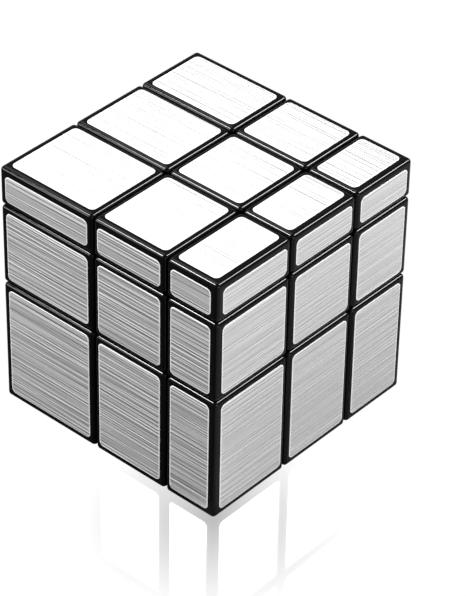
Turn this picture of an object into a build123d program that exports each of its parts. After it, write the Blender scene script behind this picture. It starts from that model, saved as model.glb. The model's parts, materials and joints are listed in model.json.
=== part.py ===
from build123d import *

import itertools
import os
from collections import namedtuple

# A mirror-block twisty puzzle: a cube of 3 x 3 x 3 blocks whose six outer layers all differ in
# thickness, so it is solved by shape. A six-armed core carries six centres on sprung screws. Each
# centre holds the feet of four edges under its skirt, and each corner's foot sits under the
# shoulders of the three edges and three centres around it. Every sliding face lies on a plane
# across a turning axis or on a sphere round the core, so that each of the six faces turns freely.
# The origin is the middle of the underside, +Z is up, and the front faces -Y.

# Driving dimensions, in millimetres.
OVERALL = 57.0  # edge of the solved cube
PITCH = 19.0  # thickness of the middle layer, the same on all three axes
RIGHT_LAYER = 13.0  # three outer layers; the layer opposite each takes what is left
BACK_LAYER = 17.0
UP_LAYER = 9.0
PLAY = 0.15  # every sliding face stands this far back from its nominal cut
EDGE_RADIUS = 0.9  # rounding of a block's edges
WALL = 1.5  # thickness of a block's moulded walls

# The mechanism's zones are spherical shells, from the outside in. Inside each zone the turning cuts
# are planes at one distance from the core's centre, and outside all of them they are at BLOCK_CUT.
Zone = namedtuple("Zone", "outer inner cut")
SHOULDER_ZONE = Zone(outer=19.2, inner=17.0, cut=8.7)
CORNER_FOOT_ZONE = Zone(outer=17.0, inner=13.0, cut=6.8)
EDGE_FOOT_ZONE = Zone(outer=13.0, inner=9.5, cut=4.6)
BLOCK_CUT = PITCH / 2
OVERLAP = 0.2  # how far one moulding's slabs run into each other before they are joined

# Where a block's shell is closed by its foot moulding.
EDGE_SEAT = SHOULDER_ZONE.outer + PLAY  # radius of the sphere on which they meet, round the core
CORNER_SEAT = 22.0
PLUG_DEPTH = 2.5  # how far the foot moulding's plug stands into the shell
PLUG_FIT = 0.05

# The core, and what holds each centre on it. Heights are distances from the core's centre.
CORE_BALL_RADIUS = 6.0
ARM_RADIUS = 4.2
ARM_END = 8.0
PILOT_RADIUS = 1.3
PILOT_DEPTH = 5.5
STALK_RADIUS = 4.45
STALK_FLOOR_THICKNESS = 2.0
SPRING_BORE_RADIUS = 3.1
SPRING_RADIUS = 2.3  # to the middle of the wire
SPRING_WIRE_RADIUS = 0.3
SPRING_ROOM = 4.0  # height that the spring is squeezed into
SPRING_TURNS = 4.0
SPRING_END_GAP = 0.03
WASHER_RADIUS = 2.9
WASHER_THICKNESS = 0.4
SCREW_RADIUS = 1.25
SCREW_HOLE_RADIUS = 1.6
SCREW_TIP = 3.0
SCREW_HEAD_RADIUS = 2.6
SCREW_HEAD_HEIGHT = 1.5
SCREW_HEAD_ROUNDING = 0.6
RECESS_LENGTH = 2.6  # the cross in the screw's head
RECESS_WIDTH = 0.6
RECESS_DEPTH = 0.9

# A centre's cap sits on its base, and four pegs hold it there.
CAP_SEAT = 16.35
PEG_OFFSET = 6.6
PEG_RADIUS = 0.8
PEG_LENGTH = 1.1
PEG_BOSS_SIDE = 2.6
PEG_BOSS_HEIGHT = 1.2

# Worked out from the driving dimensions.
LAYER = {
    "left": OVERALL - PITCH - RIGHT_LAYER,
    "right": RIGHT_LAYER,
    "front": OVERALL - PITCH - BACK_LAYER,
    "back": BACK_LAYER,
    "down": OVERALL - PITCH - UP_LAYER,
    "up": UP_LAYER,
}
REACH = {side: PITCH / 2 + thickness for side, thickness in LAYER.items()}
CORE_CENTRE = Vector(REACH["left"] - OVERALL / 2, REACH["front"] - OVERALL / 2, REACH["down"])
CORE_PLANE = Plane(origin=CORE_CENTRE)
SPRING_FLOOR = ARM_END + PLAY + STALK_FLOOR_THICKNESS
WASHER_FLOOR = SPRING_FLOOR + SPRING_ROOM
HEAD_FLOOR = WASHER_FLOOR + WASHER_THICKNESS
UPWARDS = (Align.CENTER, Align.CENTER, Align.MIN)
DOWNWARDS = (Align.CENTER, Align.CENTER, Align.MAX)

# The negative and the positive side of each axis, and each side's outward direction.
AXES = (("left", "right"), ("front", "back"), ("down", "up"))
NORMAL = {
    side: Vector(*(sign if n == axis else 0 for n in range(3)))
    for axis, pair in enumerate(AXES)
    for side, sign in zip(pair, (-1, 1))
}
NAME_ORDER = ("up", "down", "front", "back", "left", "right")


def side_plane(side, height=0.0):
    """The plane across a side's turning axis, this far out from the core's centre."""
    normal = NORMAL[side]
    across = Vector(0, 1, 0) if normal.X else Vector(1, 0, 0)
    return Plane(origin=CORE_CENTRE + normal * height, x_dir=across, z_dir=normal)


def sides_of(place):
    """The sides of the cube on which the block at a place, such as (1, -1, 0), shows."""
    found = [AXES[axis][sign > 0] for axis, sign in enumerate(place) if sign]
    return sorted(found, key=NAME_ORDER.index)


def box_between(spans, mode=Mode.ADD):
    """A box with one (low, high) span per axis, in the part that is being built."""
    low, high = (Vector(*ends) for ends in zip(*spans))
    size = high - low
    with Locations((low + high) / 2):
        Box(size.X, size.Y, size.Z, mode=mode)


def zone_spans(place, outer_cut, inner_cut):
    """The room that a block has on both sides of a sphere where the turning cuts change."""
    far = SHOULDER_ZONE.outer + PLUG_DEPTH
    half = min(outer_cut, inner_cut) - PLAY
    near = max(outer_cut, inner_cut) + PLAY
    room = {-1: (-far, -near), 0: (-half, half), 1: (near, far)}
    return [room[sign] for sign in place]


def block_spans(place, inset=0.0):
    """The block at a place, inset by the same amount on every face."""
    near = BLOCK_CUT + PLAY + inset
    half = BLOCK_CUT - PLAY - inset
    spans = []
    for (low_side, high_side), sign in zip(AXES, place):
        room = {
            -1: (-(REACH[low_side] - inset), -near),
            0: (-half, half),
            1: (near, REACH[high_side] - inset),
        }
        spans.append(room[sign])
    return spans


def slab(place, outer, inner, outer_cut, inner_cut):
    """The part of a block's room that lies between two spheres."""
    with BuildPart(CORE_PLANE) as piece:
        box_between(zone_spans(place, outer_cut, inner_cut))
        Sphere(outer, mode=Mode.INTERSECT)
        Sphere(inner, mode=Mode.SUBTRACT)
    return piece.part


def zone_slab(place, zone):
    """What a moulding fills of one zone."""
    return slab(place, zone.outer - PLAY, zone.inner + PLAY, zone.cut, zone.cut)


def zone_joint(place, outer_zone, inner_zone):
    """What joins a moulding's slabs across the sphere between two zones."""
    reach = PLAY + OVERLAP
    radius = inner_zone.outer
    return slab(place, radius + reach, radius - reach, outer_zone.cut, inner_zone.cut)


def plug(place, seat):
    """The plug on top of a foot moulding, which stands inside the shell."""
    with BuildPart(CORE_PLANE) as piece:
        box_between(block_spans(place, inset=WALL + PLUG_FIT))
        Sphere(seat + PLUG_DEPTH, mode=Mode.INTERSECT)
        Sphere(seat - OVERLAP, mode=Mode.SUBTRACT)
    return piece.part


def corner_tip(place):
    """The inner tip of a corner block, which is part of its foot moulding."""
    with BuildPart(CORE_PLANE) as tip:
        box_between(block_spans(place))
        fillet(tip.edges(), EDGE_RADIUS)
        Sphere(CORNER_SEAT, mode=Mode.INTERSECT)
        Sphere(SHOULDER_ZONE.outer - PLAY - OVERLAP, mode=Mode.SUBTRACT)
    return tip.part


def block_shell(place, seat):
    """The hollow outer moulding of an edge or a corner, open towards the core."""
    with BuildPart(CORE_PLANE) as shell:
        box_between(block_spans(place))
        fillet(shell.edges(), EDGE_RADIUS)
        box_between(block_spans(place, inset=WALL), mode=Mode.SUBTRACT)
        Sphere(seat, mode=Mode.SUBTRACT)
    return shell


def edge_foot(place):
    """An edge's foot moulding: foot, neck, shoulders and plug."""
    slabs = [
        zone_slab(place, EDGE_FOOT_ZONE),
        zone_joint(place, CORNER_FOOT_ZONE, EDGE_FOOT_ZONE),
        zone_slab(place, CORNER_FOOT_ZONE),
        zone_joint(place, SHOULDER_ZONE, CORNER_FOOT_ZONE),
        zone_slab(place, SHOULDER_ZONE),
        slab(place, EDGE_SEAT, EDGE_SEAT - 2 * OVERLAP, BLOCK_CUT, SHOULDER_ZONE.cut),
        plug(place, EDGE_SEAT),
    ]
    with BuildPart() as foot:
        add(slabs)
    return foot


def corner_foot(place):
    """A corner's foot moulding: foot, neck, tip and plug."""
    slabs = [
        zone_slab(place, CORNER_FOOT_ZONE),
        zone_joint(place, SHOULDER_ZONE, CORNER_FOOT_ZONE),
        zone_slab(place, SHOULDER_ZONE),
        corner_tip(place),
        plug(place, CORNER_SEAT),
    ]
    with BuildPart() as foot:
        add(slabs)
    return foot


def skirt(side, zone, height):
    """A square slab of a centre's base, hollowed by the sphere inside its zone."""
    width = 2 * (zone.cut - PLAY)
    with BuildPart(side_plane(side)) as piece:
        Box(width, width, height, align=UPWARDS)
        Sphere(zone.inner + PLAY, mode=Mode.SUBTRACT)
    return piece.part


def centre_base(side):
    """The moulding that turns on the core: stalk, skirt over the edges' feet, and shoulders."""
    stalk_end = ARM_END + PLAY
    skirts = [skirt(side, zone, CAP_SEAT) for zone in (CORNER_FOOT_ZONE, SHOULDER_ZONE)]
    with BuildPart() as base:
        with BuildSketch(side_plane(side, stalk_end)):
            Circle(STALK_RADIUS)
        extrude(amount=CAP_SEAT - stalk_end)
        add(skirts)
        with BuildSketch(side_plane(side, SPRING_FLOOR)):
            Circle(SPRING_BORE_RADIUS)
        extrude(amount=CAP_SEAT - SPRING_FLOOR, mode=Mode.SUBTRACT)
        with BuildSketch(side_plane(side, stalk_end)):
            Circle(SCREW_HOLE_RADIUS)
        extrude(amount=STALK_FLOOR_THICKNESS, mode=Mode.SUBTRACT)
        with BuildSketch(side_plane(side, CAP_SEAT)):
            with GridLocations(2 * PEG_OFFSET, 2 * PEG_OFFSET, 2, 2):
                Circle(PEG_RADIUS + PLUG_FIT)
        extrude(amount=-PEG_LENGTH - PLUG_FIT, mode=Mode.SUBTRACT)
    return base


def centre_cap(side):
    """The hollow cap that hides a centre's screw, with four pegs that press into the base."""
    top = REACH[side]
    width = 2 * (BLOCK_CUT - PLAY)
    shoulder_width = 2 * (SHOULDER_ZONE.cut - PLAY)
    seat_width = shoulder_width + 2 * PLUG_FIT
    cavity_width = width - 2 * WALL
    with BuildPart(side_plane(side)) as sweep_room:
        Sphere(SHOULDER_ZONE.outer + PLAY)
        Box(shoulder_width, shoulder_width, top, align=UPWARDS, mode=Mode.SUBTRACT)
    with BuildPart(side_plane(side)) as cap:
        with Locations((0, 0, BLOCK_CUT)):
            Box(width, width, top - BLOCK_CUT, align=UPWARDS)
        fillet(cap.edges(), EDGE_RADIUS)
        with Locations((0, 0, CAP_SEAT)):
            Box(seat_width, seat_width, CAP_SEAT, align=DOWNWARDS, mode=Mode.SUBTRACT)
            Box(
                cavity_width,
                cavity_width,
                top - WALL - CAP_SEAT,
                align=UPWARDS,
                mode=Mode.SUBTRACT,
            )
            with GridLocations(2 * PEG_OFFSET, 2 * PEG_OFFSET, 2, 2):
                Box(PEG_BOSS_SIDE, PEG_BOSS_SIDE, PEG_BOSS_HEIGHT, align=UPWARDS)
                Cylinder(PEG_RADIUS, PEG_LENGTH, align=DOWNWARDS)
    with BuildPart() as trimmed:
        add(cap.part)
        add(sweep_room.part, mode=Mode.SUBTRACT)
    return trimmed


def one_screw():
    """A pan-head screw with a cross recess, upright over the core's centre."""
    with BuildPart() as screw:
        with Locations((0, 0, HEAD_FLOOR)):
            Cylinder(SCREW_HEAD_RADIUS, SCREW_HEAD_HEIGHT, align=UPWARDS)
            fillet(screw.edges().sort_by(Axis.Z)[-1], SCREW_HEAD_ROUNDING)
            Cylinder(SCREW_RADIUS, HEAD_FLOOR - SCREW_TIP, align=DOWNWARDS)
        with BuildSketch(Plane.XY.offset(HEAD_FLOOR + SCREW_HEAD_HEIGHT)):
            Rectangle(RECESS_LENGTH, RECESS_WIDTH)
            Rectangle(RECESS_WIDTH, RECESS_LENGTH)
        extrude(amount=-RECESS_DEPTH, mode=Mode.SUBTRACT)
    return screw.part


def one_washer():
    """The washer between a screw's head and its spring, upright over the core's centre."""
    with BuildPart() as washer:
        with BuildSketch(Plane.XY.offset(WASHER_FLOOR)):
            Circle(WASHER_RADIUS)
            Circle(SCREW_RADIUS + PLAY, mode=Mode.SUBTRACT)
        extrude(amount=WASHER_THICKNESS)
    return washer.part


def one_spring():
    """The spring that pulls a centre towards the core, upright over the core's centre."""
    end = SPRING_WIRE_RADIUS + SPRING_END_GAP
    height = SPRING_ROOM - 2 * end
    with BuildPart() as spring:
        with BuildLine() as coil:
            Helix(
                pitch=height / SPRING_TURNS,
                height=height,
                radius=SPRING_RADIUS,
                center=(0, 0, SPRING_FLOOR + end),
            )
        with BuildSketch(Plane(origin=coil.line @ 0, z_dir=coil.line % 0)):
            Circle(SPRING_WIRE_RADIUS)
        sweep(path=coil.line)
    return spring.part


def on_every_side(upright):
    """Six separate copies of a piece, one on each turning axis."""
    with BuildPart() as group:
        with Locations(*[side_plane(side) for side in NORMAL]):
            add(upright)
    return group


def save(piece, name):
    """Label a finished piece and write it to its own STEP file."""
    piece.part.label = name
    export_step(piece.part, f"parts/{name}.step")


os.makedirs("parts", exist_ok=True)

with BuildPart(CORE_PLANE) as core:
    Sphere(CORE_BALL_RADIUS)
    for side in NORMAL:
        with BuildSketch(side_plane(side)):
            Circle(ARM_RADIUS)
        extrude(amount=ARM_END)
    for side in NORMAL:
        with BuildSketch(side_plane(side, ARM_END)):
            Circle(PILOT_RADIUS)
        extrude(amount=-PILOT_DEPTH, mode=Mode.SUBTRACT)
save(core, "core")

save(on_every_side(one_screw()), "centre_screws")
save(on_every_side(one_washer()), "screw_washers")
save(on_every_side(one_spring()), "centre_springs")

for side in NAME_ORDER:
    save(centre_base(side), f"centre_{side}_base")
    save(centre_cap(side), f"centre_{side}_cap")

for place in itertools.product((-1, 0, 1), repeat=3):
    sides = sides_of(place)
    if len(sides) == 2:
        name = "_".join(["edge", *sides])
        save(block_shell(place, EDGE_SEAT), f"{name}_shell")
        save(edge_foot(place), f"{name}_foot")
    if len(sides) == 3:
        name = "_".join(["corner", *sides])
        save(block_shell(place, CORNER_SEAT), f"{name}_shell")
        save(corner_foot(place), f"{name}_foot")
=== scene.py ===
import json
import math
import random

import bmesh
import bpy
from mathutils import Matrix, Vector

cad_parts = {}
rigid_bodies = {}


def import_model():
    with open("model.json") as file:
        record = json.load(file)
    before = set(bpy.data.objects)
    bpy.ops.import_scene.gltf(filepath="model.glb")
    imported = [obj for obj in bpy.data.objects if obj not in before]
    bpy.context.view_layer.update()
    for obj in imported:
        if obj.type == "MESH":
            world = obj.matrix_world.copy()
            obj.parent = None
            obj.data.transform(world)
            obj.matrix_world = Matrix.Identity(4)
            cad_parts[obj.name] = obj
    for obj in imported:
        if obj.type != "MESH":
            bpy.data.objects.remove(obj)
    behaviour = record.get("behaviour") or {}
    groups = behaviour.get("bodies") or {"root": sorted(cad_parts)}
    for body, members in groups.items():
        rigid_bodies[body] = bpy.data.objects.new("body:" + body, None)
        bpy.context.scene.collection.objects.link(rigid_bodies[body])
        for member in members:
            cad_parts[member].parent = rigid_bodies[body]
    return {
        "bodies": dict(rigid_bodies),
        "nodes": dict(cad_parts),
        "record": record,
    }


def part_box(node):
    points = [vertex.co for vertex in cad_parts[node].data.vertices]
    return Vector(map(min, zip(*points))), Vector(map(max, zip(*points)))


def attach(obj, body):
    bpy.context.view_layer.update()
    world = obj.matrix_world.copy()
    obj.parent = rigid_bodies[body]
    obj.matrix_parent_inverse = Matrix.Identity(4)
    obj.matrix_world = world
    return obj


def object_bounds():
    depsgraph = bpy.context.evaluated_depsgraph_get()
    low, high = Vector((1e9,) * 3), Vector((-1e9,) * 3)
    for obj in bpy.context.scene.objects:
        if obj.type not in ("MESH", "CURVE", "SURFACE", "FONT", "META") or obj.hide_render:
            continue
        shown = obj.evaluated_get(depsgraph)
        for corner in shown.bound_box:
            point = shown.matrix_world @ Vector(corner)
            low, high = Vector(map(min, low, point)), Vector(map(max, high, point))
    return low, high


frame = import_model()
cad_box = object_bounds()

# Sizes are in metres unless a name says otherwise.
MM = 0.001
CENTRE = (Vector(cad_box[0]) + Vector(cad_box[1])) / 2

# The range in which most of a noise texture lies.
NOISE_LOW = 0.3
NOISE_HIGH = 0.7

# The finishes of the CAD nodes, by material slot. Tones are linear.
# Moulded plastic: (tone, roughness, strength of the grain, specular level).
MOULDED = {
    "block_plastic": (0.002, 0.05, 0.05, 0.13),
    "foot_plastic": (0.012, 0.42, 0.5, 0.4),
    "core_plastic": (0.7, 0.4, 0.5, 0.5),
}
POLISH_CELLS = 90.0  # per metre
POLISH_VARIES = 0.15  # as a share, to either side
GRAIN_CELLS = 6000.0
GRAIN_DEPTH = 0.02 * MM
# Metal: (tone, roughness).
METALS = {
    "screw_steel": (0.62, 0.22),
    "spring_steel": (0.45, 0.3),
}
MOTTLE_CELLS = 1500.0
MOTTLE_DARKEST = 0.85  # as a share of the tone
MOTTLE_ROUGHEST = 1.4  # as a share of the roughness

# Foil panels: how much plastic shows beside one, and its own shape.
FOIL_INNER_MARGIN = 1.2 * MM  # next to another block
FOIL_OUTER_MARGIN = 1.6 * MM  # at an edge of the whole cube
FOIL_CORNER_RADIUS = 1.05 * MM
FOIL_CORNER_STEPS = 8
FOIL_SUNK = 0.02 * MM  # glue line, pressed into the plastic's surface
# The foil's cross-section from its cut edge inwards: (inset, height over the plastic).
FOIL_PROFILE = ((0.0, -FOIL_SUNK), (0.0, 0.05 * MM), (0.05 * MM, 0.09 * MM), (0.2 * MM, 0.1 * MM))

# The foil's brushing. The streaks run along U.
BRUSH_SHIFT = 0.05  # each panel is cut from its own place within this length of brushed sheet
BRUSH_SEED = 7
STREAKS_ALONG = 24.0  # per metre, lengthwise
STREAKS_ACROSS = 3600.0
STREAK_STEP = 0.9  # in streak widths
STREAK_LEVEL = 0.5  # height in the noise, midway between two planes of its lattice
STREAK_DEPTH = 0.045 * MM
STREAK_TONES = (0.7, 0.77)
STREAK_TONES_AT = (-0.25, 0.25)  # the differences of noise that get these tones
STREAK_ROUGHNESS = (0.24, 0.6)
STREAK_ROUGHNESS_AT = (-0.22, 0.22)
FOIL_ANISOTROPY = 0.6
QUARTER_TURN = 0.25  # lays the highlights across the streaks

# The pale backing film that shows at a foil's cut edge.
FILM_CELLS = 900.0
FILM_TONES = (0.82, 0.9)
FILM_ROUGHNESS = 0.45

# The camera, aimed at the middle of the cube.
VIEW_AZIMUTH = math.radians(41.7)  # from -Y towards +X
VIEW_ELEVATION = math.radians(37.0)
VIEW_DISTANCE = 0.600
VIEW_ROLL = math.radians(0.8)
LENS_MM = 181.0
SENSOR_MM = 36.0
SHIFT_X = 0.047
SHIFT_Y = -0.032
CLIP_START = 0.01

# The floor.
FLOOR_RADIUS = 2.5
FLOOR_SEGMENTS = 96
FLOOR_DROP = 0.15 * MM  # keeps it clear of the foils under the cube
FLOOR_BRIGHTNESS = 1.02  # as the camera sees it, just past white
FLOOR_POLISH = 0.5  # how much of the floor is mirror at the foot of the front right-hand corner
POLISH_REACH = 0.026  # from that corner
# The floor's tone in reflections is painted: darker at the front left as shade, paler at the back right
# as light.
SHADED_FLOOR_TONE = 0.08  # painted shade: the floor's tone at the front left, as the cube sees it
LIT_FLOOR_TONE = 0.46  # painted light: the floor's tone at the back right, as the cube sees it
SHADE_TO_LIGHT_SPAN = 0.01
BOARD_CELLS = 8.0
BOARD_DARKEST = 0.97  # as a share of the tone
BOARD_ROUGHNESS = 0.6

# The lights: (name, azimuth and elevation in degrees, width and height, watts).
# Azimuths are from -Y towards +X, as the camera's is.
SOFTBOXES = (
    ("overhead", -117, 55, (0.6, 0.6), 3.2),
    ("right_back", 144, 41, (0.14, 0.32), 10.0),
    ("right_side", 84, 14, (0.6, 0.5), 7.0),
    ("front_left", -48, 22, (0.5, 0.3), 9.4),
    ("glint_left", -53, 50, (0.15, 0.16), 12.0),
)
SOFTBOX_DISTANCE = 1.2  # from the middle of the cube
ROOM_GLOW = 0.35
ROOM_GLOW_IN_MIRROR = 1.0  # keeps the floor white round the mirror image

SIDES = {
    "left": Vector((-1, 0, 0)),
    "right": Vector((1, 0, 0)),
    "front": Vector((0, -1, 0)),
    "back": Vector((0, 1, 0)),
    "down": Vector((0, 0, -1)),
    "up": Vector((0, 0, 1)),
}


def material(name):
    """A new node material, with its tree and its Principled shader."""
    made = bpy.data.materials.new(name)
    made.use_nodes = True
    tree = made.node_tree
    return made, tree, tree.nodes["Principled BSDF"]


def add_node(tree, kind, inputs=None, **settings):
    """A node with its settings and with fixed or linked inputs."""
    node = tree.nodes.new(kind)
    for key, value in settings.items():
        setattr(node, key, value)
    for key, value in (inputs or {}).items():
        if isinstance(value, bpy.types.NodeSocket):
            tree.links.new(value, node.inputs[key])
        else:
            node.inputs[key].default_value = value
    return node


def noise(tree, vector, scale, detail=2.0):
    """Noise from 0 to 1 over a vector."""
    inputs = {"Vector": vector, "Scale": scale, "Detail": detail}
    return add_node(tree, "ShaderNodeTexNoise", inputs).outputs["Fac"]


def spread(tree, value, low, high, from_low=NOISE_LOW, from_high=NOISE_HIGH):
    """A value stretched to a range, from where noise mostly lies or from a range given."""
    inputs = {
        "Value": value,
        "From Min": from_low,
        "From Max": from_high,
        "To Min": low,
        "To Max": high,
    }
    return add_node(tree, "ShaderNodeMapRange", inputs).outputs["Result"]


def arithmetic(tree, operation, first, second):
    """Two values added, multiplied and so on."""
    return add_node(tree, "ShaderNodeMath", {0: first, 1: second}, operation=operation).outputs[0]


def vector_math(tree, operation, first, second=(0, 0, 0)):
    """The outputs of an operation on vectors."""
    return add_node(tree, "ShaderNodeVectorMath", {0: first, 1: second}, operation=operation).outputs


def grey(tree, value):
    """A colour of one value."""
    inputs = {"Red": value, "Green": value, "Blue": value}
    return add_node(tree, "ShaderNodeCombineColor", inputs).outputs["Color"]


def object_place(tree):
    """A point's place in its object, in metres."""
    return add_node(tree, "ShaderNodeTexCoord").outputs["Object"]


def moulded_plastic(name, base, roughness, grain, specular):
    """Moulded plastic: a fine moulded grain, and polish that varies a little from place to place."""
    made, tree, shader = material(name)
    place = object_place(tree)
    polish = noise(tree, place, POLISH_CELLS)
    least, most = 1.0 - POLISH_VARIES, 1.0 + POLISH_VARIES
    tone = spread(tree, polish, base * least, base * most)
    tree.links.new(grey(tree, tone), shader.inputs["Base Color"])
    gloss = spread(tree, polish, roughness * least, roughness * most)
    tree.links.new(gloss, shader.inputs["Roughness"])
    fine = noise(tree, place, GRAIN_CELLS, 1.0)
    inputs = {"Height": fine, "Strength": grain, "Distance": GRAIN_DEPTH}
    bump = add_node(tree, "ShaderNodeBump", inputs)
    tree.links.new(bump.outputs["Normal"], shader.inputs["Normal"])
    shader.inputs["Specular IOR Level"].default_value = specular
    return made


def metal(name, base, roughness):
    """Plain metal with fine mottling, as on plating or drawn wire."""
    made, tree, shader = material(name)
    mottle = noise(tree, object_place(tree), MOTTLE_CELLS)
    tone = spread(tree, mottle, base * MOTTLE_DARKEST, base)
    tree.links.new(grey(tree, tone), shader.inputs["Base Color"])
    gloss = spread(tree, mottle, roughness, roughness * MOTTLE_ROUGHEST)
    tree.links.new(gloss, shader.inputs["Roughness"])
    shader.inputs["Metallic"].default_value = 1.0
    return made


def streaks(tree, place, beside):
    """Noise drawn out along U, looked up this many streak widths to one side."""
    inputs = {
        "Vector": place,
        "Location": (0.0, beside, STREAK_LEVEL),
        "Scale": (STREAKS_ALONG, STREAKS_ACROSS, 1.0),
    }
    mapping = add_node(tree, "ShaderNodeMapping", inputs)
    return noise(tree, mapping.outputs["Vector"], 1.0, 1.0)


def brushed_foil():
    """Silver foil with streaks along its U direction."""
    made, tree, shader = material("silver_foil")
    place = add_node(tree, "ShaderNodeUVMap", uv_map="brushing").outputs["UV"]
    # The difference of two places close together leaves the fine streaks and drops the wide ones.
    one, other = streaks(tree, place, 0.0), streaks(tree, place, STREAK_STEP)
    both = arithmetic(tree, "SUBTRACT", one, other)
    tone = spread(tree, both, *STREAK_TONES, *STREAK_TONES_AT)
    tree.links.new(grey(tree, tone), shader.inputs["Base Color"])
    gloss = spread(tree, both, *STREAK_ROUGHNESS, *STREAK_ROUGHNESS_AT)
    tree.links.new(gloss, shader.inputs["Roughness"])
    inputs = {"Height": both, "Strength": 1.0, "Distance": STREAK_DEPTH}
    bump = add_node(tree, "ShaderNodeBump", inputs)
    tree.links.new(bump.outputs["Normal"], shader.inputs["Normal"])
    tangent = add_node(tree, "ShaderNodeTangent", direction_type="UV_MAP", uv_map="brushing")
    tree.links.new(tangent.outputs["Tangent"], shader.inputs["Tangent"])
    shader.inputs["Metallic"].default_value = 1.0
    shader.inputs["Anisotropic"].default_value = FOIL_ANISOTROPY
    shader.inputs["Anisotropic Rotation"].default_value = QUARTER_TURN
    return made


def cut_edge():
    """The pale cut edge of the foil's backing film."""
    made, tree, shader = material("foil_cut_edge")
    tone = spread(tree, noise(tree, object_place(tree), FILM_CELLS), *FILM_TONES)
    tree.links.new(grey(tree, tone), shader.inputs["Base Color"])
    shader.inputs["Roughness"].default_value = FILM_ROUGHNESS
    return made


CAD_MATERIALS = {slot: moulded_plastic(slot, *finish) for slot, finish in MOULDED.items()}
CAD_MATERIALS |= {slot: metal(slot, *finish) for slot, finish in METALS.items()}
FOIL = brushed_foil()
CUT_EDGE = cut_edge()


def finish_cad_nodes():
    """Give every CAD node the material of its slot."""
    for entry in frame["record"]["subparts"]:
        node = frame["nodes"][entry["node"]]
        node.material_slots[0].material = CAD_MATERIALS[entry["material_slot"]]


def add_object(name, data):
    """A new object in the scene."""
    made = bpy.data.objects.new(name, data)
    bpy.context.scene.collection.objects.link(made)
    return made


def rounded_outline(width, height, radius):
    """The points of a rounded rectangle round the origin, anticlockwise."""
    points = []
    for quarter, (x_sign, y_sign) in enumerate(((1, 1), (-1, 1), (-1, -1), (1, -1))):
        middle = Vector((x_sign * (width / 2 - radius), y_sign * (height / 2 - radius)))
        for step in range(FOIL_CORNER_STEPS + 1):
            angle = (quarter + step / FOIL_CORNER_STEPS) * math.pi / 2
            points.append(middle + radius * Vector((math.cos(angle), math.sin(angle))))
    return points


def foil_mesh(name, width, height, shift):
    """One foil, flat on the XY plane and brushed along X. Its cut edge is the second material."""
    mesh = bmesh.new()
    rings = []
    for inset, level in FOIL_PROFILE:
        radius = FOIL_CORNER_RADIUS - inset
        outline = rounded_outline(width - 2 * inset, height - 2 * inset, radius)
        rings.append([mesh.verts.new((p.x, p.y, level)) for p in outline])
    count = len(rings[0])
    for lower, upper in zip(rings, rings[1:]):
        for n in range(count):
            m = (n + 1) % count
            side = mesh.faces.new((lower[n], lower[m], upper[m], upper[n]))
            side.material_index = 1
            side.smooth = True
    mesh.faces.new(list(reversed(rings[0]))).material_index = 1
    mesh.faces.new(rings[-1])
    uv = mesh.loops.layers.uv.new("brushing")
    for face in mesh.faces:
        for loop in face.loops:
            loop[uv].uv = (loop.vert.co.x + shift[0], loop.vert.co.y + shift[1])
    made = bpy.data.meshes.new(name)
    mesh.to_mesh(made)
    mesh.free()
    made.materials.append(FOIL)
    made.materials.append(CUT_EDGE)
    return made


def face_matrix(side, middle):
    """The placing of a foil on a side of the cube: brushed level, and along X on the top and bottom."""
    normal = SIDES[side]
    level = Vector((0, 0, 1)).cross(normal) if normal.z == 0 else Vector((1, 0, 0))
    across = normal.cross(level)
    turn = Matrix((level, across, normal)).transposed().to_4x4()
    return Matrix.Translation(middle) @ turn


def foil_corners(side, sides, block_low, block_high):
    """The low and high corners of the foil on one of a block's outer sides."""
    normal = SIDES[side]
    low, high = block_low.copy(), block_high.copy()
    for axis in range(3):
        if normal[axis]:
            outermost = block_high if normal[axis] > 0 else block_low
            low[axis] = high[axis] = outermost[axis]
            continue
        names = [other for other in sides if SIDES[other][axis]]
        sign = SIDES[names[0]][axis] if names else 0
        low[axis] += FOIL_OUTER_MARGIN if sign < 0 else FOIL_INNER_MARGIN
        high[axis] -= FOIL_OUTER_MARGIN if sign > 0 else FOIL_INNER_MARGIN
    return low, high


def add_foils():
    """One foil panel on every face of a block that shows when the cube is solved."""
    pick = random.Random(BRUSH_SEED)
    for body in sorted(frame["bodies"]):
        sides = [word for word in body.split("_") if word in SIDES]
        if not sides:
            continue
        outer = f"{body}_cap" if body.startswith("centre") else f"{body}_shell"
        block_low, block_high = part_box(outer)
        for side in sides:
            low, high = foil_corners(side, sides, block_low, block_high)
            place = face_matrix(side, (low + high) / 2)
            size = place.to_3x3().transposed() @ (high - low)
            shift = (pick.uniform(0, BRUSH_SHIFT), pick.uniform(0, BRUSH_SHIFT))
            name = f"foil_{side}_of_{body}"
            mesh = foil_mesh(name, abs(size.x), abs(size.y), shift)
            mesh.transform(place)
            panel = add_object(name, mesh)
            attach(panel, body)


def mix_shaders(tree, share, first, second):
    """Two shader nodes mixed. The share is the second's."""
    inputs = {0: share, 1: first.outputs[0], 2: second.outputs[0]}
    return add_node(tree, "ShaderNodeMixShader", inputs)


def paint_floor_shade_and_light(tree, shader, place):
    """The floor as the cube sees it: painted shade at the front left and painted light at the back
    right.
    """
    # Painted shade and light: the floor's tone steps from dark to pale across the line x + y = 0.
    across = vector_math(tree, "DOT_PRODUCT", place, (1, 1, 0))["Value"]
    painted_shade_and_light = spread(tree, across, SHADED_FLOOR_TONE, LIT_FLOOR_TONE, -SHADE_TO_LIGHT_SPAN, SHADE_TO_LIGHT_SPAN)
    mottle = spread(tree, noise(tree, place, BOARD_CELLS), BOARD_DARKEST, 1.0)
    tone = arithmetic(tree, "MULTIPLY", painted_shade_and_light, mottle)
    tree.links.new(grey(tree, tone), shader.inputs["Base Color"])
    shader.inputs["Roughness"].default_value = BOARD_ROUGHNESS
    shader.inputs["Specular IOR Level"].default_value = 0.0


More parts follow.
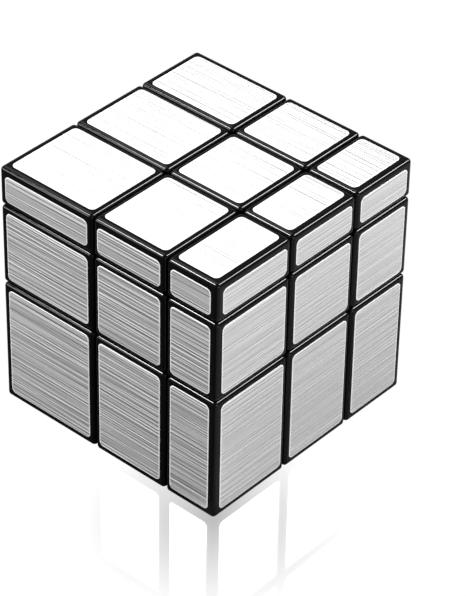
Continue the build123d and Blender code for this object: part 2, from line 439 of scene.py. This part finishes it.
def floor_picture(tree, place):
    """The floor as the camera sees it: evenly white, and part mirror near one corner of the cube."""
    corner = (cad_box[1][0], cad_box[0][1], 0.0)
    away = vector_math(tree, "SUBTRACT", place, corner)["Vector"]
    distance = vector_math(tree, "LENGTH", away)["Value"]
    polished = spread(tree, distance, FLOOR_POLISH, 0.0, 0.0, POLISH_REACH)
    plain = add_node(tree, "ShaderNodeEmission", {"Strength": FLOOR_BRIGHTNESS})
    inputs = {"Color": (1, 1, 1, 1), "Roughness": 0.0}
    mirror = add_node(tree, "ShaderNodeBsdfGlossy", inputs)
    return mix_shaders(tree, polished, plain, mirror)


def add_floor():
    """A plain floor, white to the camera. What it sends back to the cube has painted shade at the front
    left and painted light at the back right.
    """
    made, tree, shader = material("floor")
    place = object_place(tree)
    paint_floor_shade_and_light(tree, shader, place)
    camera_ray = add_node(tree, "ShaderNodeLightPath").outputs["Is Camera Ray"]
    mixed = mix_shaders(tree, camera_ray, shader, floor_picture(tree, place))
    tree.links.new(mixed.outputs[0], tree.nodes["Material Output"].inputs["Surface"])
    mesh = bmesh.new()
    bmesh.ops.create_circle(mesh, cap_ends=True, segments=FLOOR_SEGMENTS, radius=FLOOR_RADIUS)
    data = bpy.data.meshes.new("floor")
    mesh.to_mesh(data)
    mesh.free()
    data.materials.append(made)
    floor = add_object("floor", data)
    floor.location.z = -FLOOR_DROP


def direction(azimuth, elevation):
    """The unit vector at an azimuth, from -Y towards +X, and an elevation, both in radians."""
    level = math.cos(elevation)
    return Vector((math.sin(azimuth) * level, -math.cos(azimuth) * level, math.sin(elevation)))


def add_softbox(name, azimuth, elevation, size, power):
    """An area light aimed at the middle of the cube, with its angles in degrees."""
    away = direction(math.radians(azimuth), math.radians(elevation))
    data = bpy.data.lights.new(name, "AREA")
    data.shape = "RECTANGLE"
    data.size, data.size_y = size
    data.energy = power
    light = add_object(name, data)
    light.location = CENTRE + away * SOFTBOX_DISTANCE
    light.rotation_euler = away.to_track_quat("Z", "Y").to_euler()


def add_room():
    """An even white glow all round, brighter where the floor's mirror looks at it."""
    world = bpy.data.worlds.new("room")
    world.use_nodes = True
    tree = world.node_tree
    in_mirror = add_node(tree, "ShaderNodeLightPath").outputs["Is Singular Ray"]
    glow = spread(tree, in_mirror, ROOM_GLOW, ROOM_GLOW_IN_MIRROR, 0.0, 1.0)
    background = tree.nodes["Background"]
    background.inputs["Color"].default_value = (1, 1, 1, 1)
    tree.links.new(glow, background.inputs["Strength"])
    bpy.context.scene.world = world


def add_light():
    """Soft studio light, shown without any tone curve."""
    for softbox in SOFTBOXES:
        add_softbox(*softbox)
    add_room()
    bpy.context.scene.view_settings.view_transform = "Standard"


def add_camera():
    """A long lens on the front right-hand corner, from above."""
    away = direction(VIEW_AZIMUTH, VIEW_ELEVATION)
    data = bpy.data.cameras.new("camera")
    data.lens = LENS_MM
    data.sensor_width = SENSOR_MM
    data.shift_x = SHIFT_X
    data.shift_y = SHIFT_Y
    data.clip_start = CLIP_START
    camera = add_object("camera", data)
    aim = away.to_track_quat("Z", "Y").to_matrix() @ Matrix.Rotation(VIEW_ROLL, 3, "Z")
    camera.matrix_world = Matrix.Translation(CENTRE + away * VIEW_DISTANCE) @ aim.to_4x4()
    bpy.context.scene.camera = camera


add_camera()
finish_cad_nodes()
add_foils()
add_floor()
add_light()
